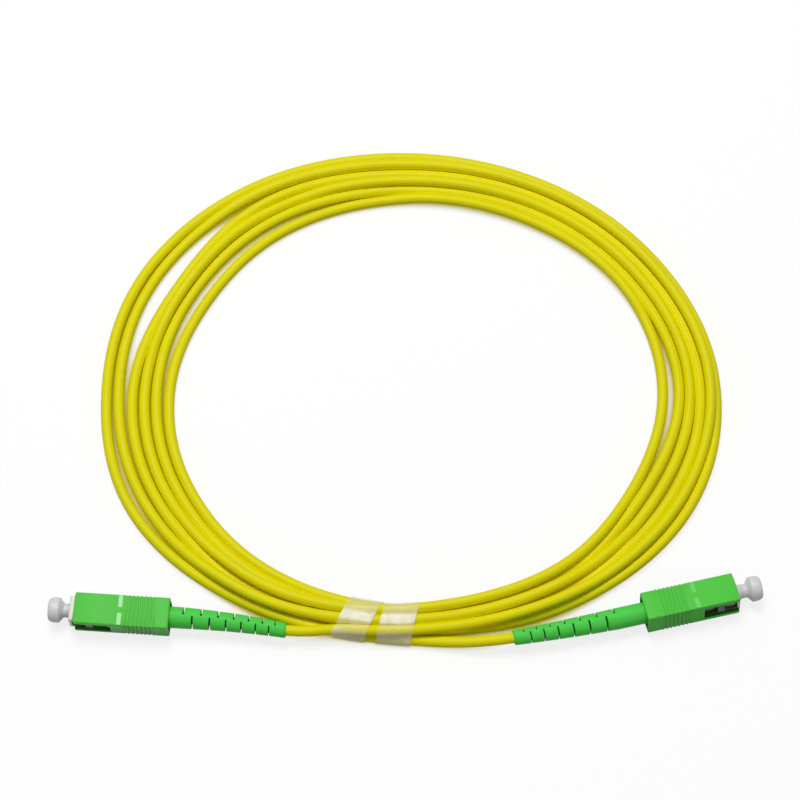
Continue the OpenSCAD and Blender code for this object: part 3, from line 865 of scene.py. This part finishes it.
def haze_and_highlight_at(grid):
    """How milky each point is, by how far it lies from the front to the back of the strands, with
    a painted highlight and a painted reflection in it.

    Seen from above and in front, a point lies at v = y sin(rise) + z cos(rise). The film clings
    to the strands on top, and stands off them in front and behind, where it is milky. The band
    from 0.57 to 0.71 of the way back is a painted highlight, and the front band is also a painted
    reflection.
    """
    v = grid[..., 1] * math.sin(camera_rise) + grid[..., 2] * math.cos(camera_rise)
    low, high = v.min(axis=1, keepdims=True), v.max(axis=1, keepdims=True)
    return np.interp((v - low) / (high - low), haze_and_highlight_places, haze_and_highlight_values)


def film_grid(x, shear, out, stations=28, count=140):
    """One turn's face, out millimetres from its inner one: wrap() at each station across it.

    A ripple of height * sin(turn * s + pitch * y) lifts its top, for s from -0.5 to 0.5 across.
    """
    grid = []
    for s in np.linspace(-0.5, 0.5, stations):
        at = x + s * tape_w
        line = wrap(strands_at(at, shear), cord_d / 2 + film_gap + out, count)
        wave = np.sin(ripple_turn * s + ripple_pitch * line[:, 0])
        ripple = ripple_height * wave * np.clip(line[:, 1] - 1, 0, 1)
        grid.append(np.column_stack([at + shear * line[:, 0], line[:, 0], line[:, 1] + ripple]))
    return np.array(grid)


def make_film(name, x, shear):
    """A closed band: the outer face, round the edge, and the inner face back."""
    outer, inner = film_grid(x, shear, tape_t), film_grid(x, shear, 0.0)[::-1]
    grid = np.concatenate([outer, inner, outer[:1]])
    made = grid_object(name, grid, caps=False)
    # Milkiness with a painted highlight and a painted reflection, stored on the points.
    point_values(made.data, "haze_and_highlight", haze_and_highlight_at(grid).ravel())
    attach(made, "cord")
    return made


print("strands under the tape:", len(strands_at(tape_middle, 0.0)))

# %% Make the film
def make_film_material():
    """Clear film: as milky as its attribute says, which also holds a painted highlight and a
    painted reflection, with small creases that change it.
    """
    made, tree, shader = new_material("clear_film")
    place = tree.nodes.new("ShaderNodeTexCoord").outputs["Object"]
    creases = node(tree, "ShaderNodeTexNoise", Vector=place, Scale=420.0, Detail=4.0,
                   Distortion=0.8).outputs["Fac"]
    change = math_node(tree, "MULTIPLY_ADD", creases, 1.2, 0.4)
    tree.links.new(math_node(tree, "MULTIPLY", read_attribute(tree, "haze_and_highlight"), change),
                   shader.inputs["Alpha"])
    bumped(tree, shader, creases, 0.05)
    shader.inputs["Base Color"].default_value = (0.92, 0.90, 0.84, 1)
    shader.inputs["Roughness"].default_value = 0.22
    return made


clear_film = make_film_material()
half_pitch = (tape_w + tape_space) / 2
tape = [make_film("film_turn_1", tape_middle - half_pitch, 0.48),
        make_film("film_turn_2", tape_middle + half_pitch, 0.25)]
for turn in tape:
    turn.data.materials.append(clear_film)
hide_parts("tape_band")
print("film:", [len(t.data.polygons) for t in tape], "faces")

# %% [markdown]
# ## What the cord carries
#
# The boots, the frames, the springs and the tape are attached to the cord's body, so they go with
# it.

# %% [markdown]
# ## The table
#
# The table is white and runs out of sight. Most of its brightness is shown only to the camera and
# to reflections, so that it keeps a soft shadow of the cord and adds little light from below.
# Deep between two strands the table is shut in from all sides, and what light gets there comes
# off the cord. There its colour is painted from white through a pale yellow to brown, as painted
# shade and bounce light, inside the coil's oval only.

# %% Table
table_size, table_drop = 3.0, 0.05 * MM
table_albedo, shown_albedo = 0.38, 0.2
shut_in_reach, coil_edge = 9 * MM, (1.02, 1.06)
# Painted shade and bounce light: the table's colour by the open share of the sky, brown through
# yellow to white.
painted_shade_and_bounce = ((0.06, (0.22, 0.17, 0.0)), (0.2, (0.46, 0.39, 0.0)), (0.34, (0.60, 0.51, 0.07)),
                   (0.5, (1.0, 1.0, 1.0)))
table_mesh = bpy.data.meshes.new("table")
half = table_size / 2
table_mesh.from_pydata([(x * half, y * half, -table_drop) for x, y in
                        ((-1, -1), (1, -1), (1, 1), (-1, 1))], [], [(0, 1, 2, 3)])
table = new_object("table", table_mesh)


def seen_rays(tree):
    """1 for camera, glossy and transmission rays, else 0."""
    rays = tree.nodes.new("ShaderNodeLightPath").outputs
    seen = math_node(tree, "MAXIMUM", rays["Is Camera Ray"], rays["Is Glossy Ray"])
    return math_node(tree, "MAXIMUM", seen, rays["Is Transmission Ray"])


def make_table_material():
    """White, with painted shade and bounce light where the sky is hidden, only inside the coil's
    oval.
    """
    made, tree, shader = new_material("white_table")
    shader.inputs["Roughness"].default_value = 0.9
    shader.inputs["Specular IOR Level"].default_value = 0.0
    shut_in = tree.nodes.new("ShaderNodeAmbientOcclusion")
    shut_in.samples = 12
    shut_in.inputs["Distance"].default_value = shut_in_reach
    colours = tree.nodes.new("ShaderNodeValToRGB")
    place = node(tree, "ShaderNodeMapping", Scale=(1 / (coil_rx * MM), 1 / (coil_ry * MM), 0.0),
                 Location=(-coil_centre[0] / coil_rx, -coil_centre[1] / coil_ry, 0.0),
                 Vector=tree.nodes.new("ShaderNodeTexCoord").outputs["Object"])
    reach = tree.nodes.new("ShaderNodeVectorMath")
    reach.operation = "LENGTH"
    tree.links.new(place.outputs["Vector"], reach.inputs[0])
    outside = node(tree, "ShaderNodeMapRange", Value=reach.outputs["Value"],
                   From_Min=coil_edge[0], From_Max=coil_edge[1])
    tree.links.new(math_node(tree, "MAXIMUM", shut_in.outputs["AO"], outside.outputs["Result"]),
                   colours.inputs["Fac"])
    stops = colours.color_ramp.elements
    for i, (openness, colour) in enumerate(painted_shade_and_bounce):
        stop = stops[i] if i < 2 else stops.new(openness)
        stop.position, stop.color = openness, (*colour, 1)
    tree.links.new(colours.outputs["Color"], shader.inputs["Emission Color"])
    seen = seen_rays(tree)
    tree.links.new(math_node(tree, "MULTIPLY", seen, 1.0 - shown_albedo),
                   shader.inputs["Emission Strength"])
    albedo = math_node(tree, "MULTIPLY_ADD", seen, shown_albedo - table_albedo, table_albedo)
    scaled = node(tree, "ShaderNodeVectorMath")
    scaled.operation = "SCALE"
    tree.links.new(colours.outputs["Color"], scaled.inputs[0])
    tree.links.new(albedo, scaled.inputs["Scale"])
    tree.links.new(scaled.outputs["Vector"], shader.inputs["Base Color"])
    return made


table.data.materials.append(make_table_material())
print("table:", table_size, "m wide")

# %% [markdown]
# ## Light
#
# One large lamp hangs above and a little behind, and gives the soft shadow. The sky fills in the
# rest. It too is brighter to the camera than to the scene, so that it looks white behind the
# table's edge without washing the shadows out.

# %% Light
sky_light, sky_seen = 0.32, 0.6
world = bpy.data.worlds.new("sky")
world.use_nodes = True
sky = world.node_tree
strength = math_node(sky, "MULTIPLY_ADD", seen_rays(sky), sky_seen - sky_light, sky_light)
background = sky.nodes["Background"]
background.inputs["Color"].default_value = (1, 1, 1, 1)
sky.links.new(strength, background.inputs["Strength"])
bpy.context.scene.world = world


def lamp(name, place, aim, size, watts):
    """A round area lamp that looks at aim; its power is in watts."""
    data = bpy.data.lights.new(name, "AREA")
    data.shape = "DISK"
    data.size = size
    data.energy = watts
    made = bpy.data.objects.new(name, data)
    made.location = place
    away = np.array(place) - np.array(aim)
    yaw = math.atan2(away[1], away[0]) + math.pi / 2
    pitch = math.acos(away[2] / np.linalg.norm(away))
    made.rotation_euler = (pitch, 0, yaw)
    bpy.context.collection.objects.link(made)
    return made


main_lamp = lamp("main_lamp", place=(-0.12, 0.38, 1.0), aim=(0, 0.06, 0), size=0.5, watts=8.0)
bpy.context.scene.view_settings.view_transform = "Standard"
print("lamp:", main_lamp.data.energy, "W")
